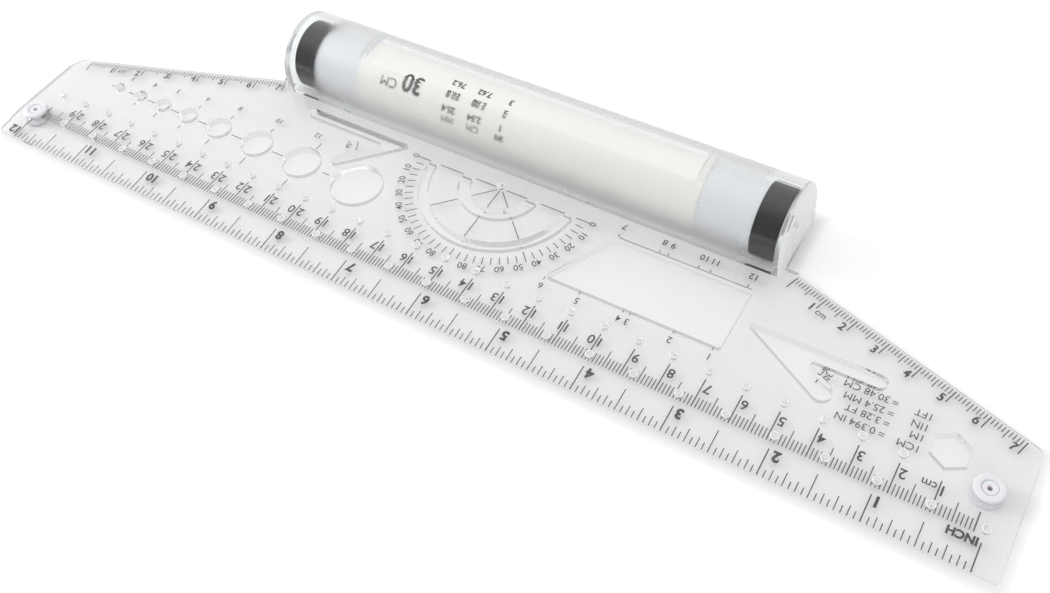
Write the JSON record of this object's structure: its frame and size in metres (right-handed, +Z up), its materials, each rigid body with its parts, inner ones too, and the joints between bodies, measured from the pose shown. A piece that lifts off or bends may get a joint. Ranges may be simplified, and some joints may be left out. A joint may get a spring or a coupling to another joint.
{
  "type": "rolling parallel ruler",
  "caption": "Clear rolling parallel ruler with bevelled scales, a protractor and shape cut-outs, a hooded roller on two tyres and two pivot bushes for drawing arcs.",
  "frame": {"origin": "on the table, under the middle of the ruler's length and depth", "axes": "+X along the inch edge in the direction its scale counts, +Y from the roller towards the inch edge, +Z up from the table"},
  "size_m": [0.317, 0.0826, 0.0233],
  "materials": {
    "clear_plate": "clear polished acrylic",
    "clear_hood": "clear moulded acrylic",
    "white_barrel": "smooth white",
    "cream_label": "printed film",
    "white_nylon": "satin",
    "black_rubber": "matt",
    "grey_plastic": "satin",
    "steel_pin": "turned"
  },
  "bodies": {
    "ruler": {"ruler_plate": "clear_plate", "roller_hood": "clear_hood", "bearing_insert_left": "white_nylon", "bearing_insert_right": "white_nylon"},
    "roller": {"roller_barrel": "white_barrel", "label_sleeve": "cream_label", "tyre_left": "black_rubber", "tyre_right": "black_rubber", "end_plug_left": "grey_plastic", "end_plug_right": "grey_plastic", "axle_pin_left": "steel_pin", "axle_pin_right": "steel_pin"},
    "pivot_cm": {"pivot_bush_cm": "white_nylon", "pivot_cap_cm": "white_nylon"},
    "pivot_inch": {"pivot_bush_inch": "white_nylon", "pivot_cap_inch": "white_nylon"}
  },
  "joints": [
    {"name": "roller_spin", "type": "hinge", "parent": "ruler", "child": "roller", "pos_m": [0, -0.02815, 0.0102], "axis": [1, 0, 0], "continuous": true},
    {"name": "pivot_cm_turn", "type": "hinge", "parent": "ruler", "child": "pivot_cm", "pos_m": [-0.15, 0.02025, 0], "axis": [0, 0, 1], "continuous": true},
    {"name": "pivot_inch_turn", "type": "hinge", "parent": "ruler", "child": "pivot_inch", "pos_m": [0.1524, 0.03015, 0], "axis": [0, 0, 1], "continuous": true}
  ]
}
